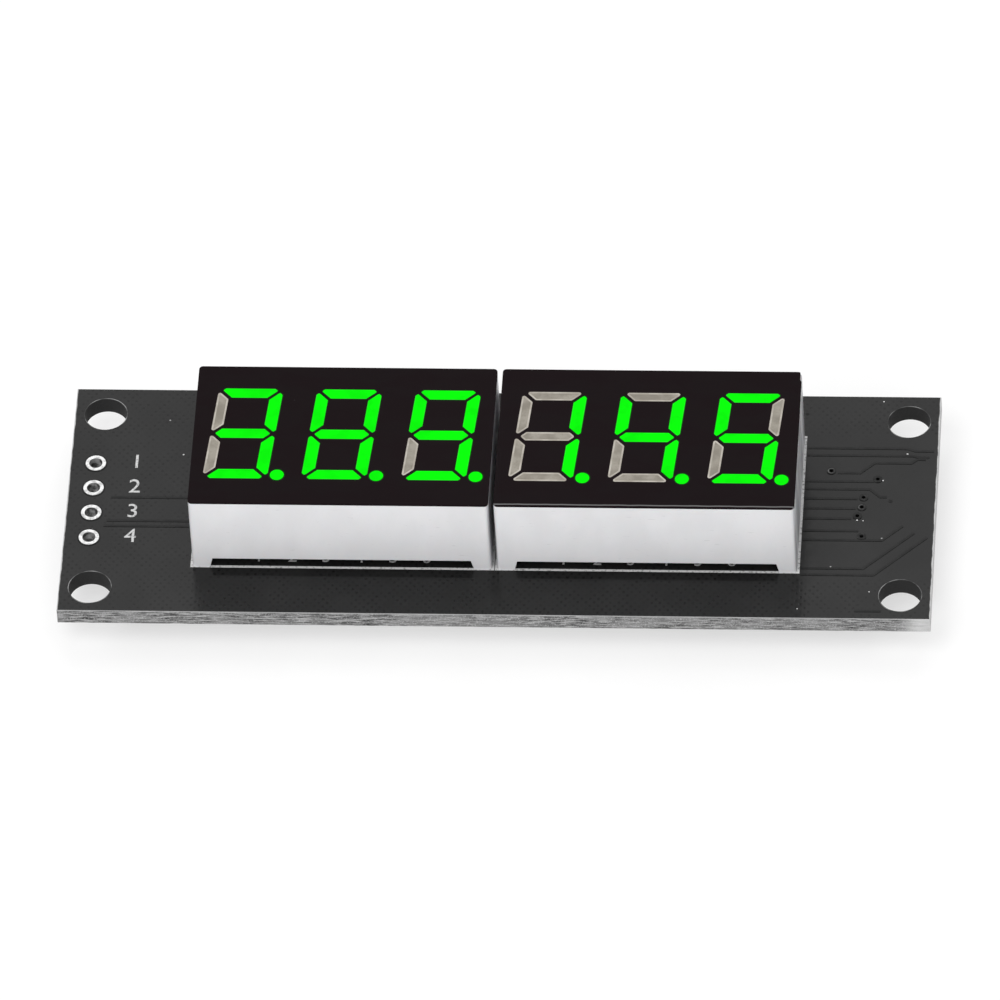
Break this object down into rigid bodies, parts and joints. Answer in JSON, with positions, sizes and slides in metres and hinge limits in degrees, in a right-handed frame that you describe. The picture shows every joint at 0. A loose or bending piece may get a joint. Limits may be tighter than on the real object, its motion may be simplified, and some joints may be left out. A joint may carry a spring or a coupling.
{
  "type": "seven segment display module",
  "caption": "Circuit board module with multi-digit seven segment displays side by side, plated header holes at one end, corner mounting holes and a driver chip on its back.",
  "frame": {"origin": "middle of the four mounting holes, on the underside of the circuit board", "axes": "+X along the digits in reading order, +Y towards the tops of the digits, +Z out of the display faces"},
  "size_m": [0.0658, 0.0228, 0.011],
  "materials": {
    "board_mask": "matte black solder mask with a fine weave",
    "via_mask": "solder mask over plated holes",
    "tinned_ring": "bright tinned copper",
    "solder": "shiny solder",
    "pin_metal": "tinned steel wire",
    "lead_metal": "dull tinned lead frame",
    "white_housing": "white moulded plastic, slightly glossy",
    "black_face": "satin black film",
    "lit_green": "lit pure green diffused resin",
    "unlit_resin": "milky warm grey resin, not lit",
    "back_resin": "cast resin",
    "inner_laminate": "pale glass laminate",
    "light_chip": "bare light chips",
    "chip_package": "black moulded epoxy",
    "resistor_coat": "black glass coat on ceramic",
    "capacitor_ceramic": "tan ceramic",
    "part_ends": "tinned ends"
  },
  "bodies": {
    "root": {"printed_circuit_board": "board_mask", "vias": "via_mask", "pin_pads": "tinned_ring", "driver_chip": "chip_package", "driver_chip_leads": "lead_metal", "driver_chip_solder": "solder", "back_pads": "tinned_ring", "small_part_solder": "solder", "header_pad_1": "tinned_ring", "header_pad_2": "tinned_ring", "header_pad_3": "tinned_ring", "header_pad_4": "tinned_ring", "left_housing": "white_housing", "left_face_mask": "black_face", "left_digit_1": "lit_green", "left_digit_2": "lit_green", "left_digit_3": "lit_green", "left_unlit_segments": "unlit_resin", "left_inner_board": "inner_laminate", "left_light_chips": "light_chip", "left_back_resin": "back_resin", "left_front_pins": "pin_metal", "left_front_solder": "solder", "left_rear_pins": "pin_metal", "left_rear_solder": "solder", "right_housing": "white_housing", "right_face_mask": "black_face", "right_digit_1": "lit_green", "right_digit_2": "lit_green", "right_digit_3": "lit_green", "right_unlit_segments": "unlit_resin", "right_inner_board": "inner_laminate", "right_light_chips": "light_chip", "right_back_resin": "back_resin", "right_front_pins": "pin_metal", "right_front_solder": "solder", "right_rear_pins": "pin_metal", "right_rear_solder": "solder", "resistor_1": "resistor_coat", "resistor_1_ends": "part_ends", "resistor_2": "resistor_coat", "resistor_2_ends": "part_ends", "capacitor_1": "capacitor_ceramic", "capacitor_1_ends": "part_ends", "capacitor_2": "capacitor_ceramic", "capacitor_2_ends": "part_ends", "capacitor_3": "capacitor_ceramic", "capacitor_3_ends": "part_ends"}
  },
  "joints": []
}
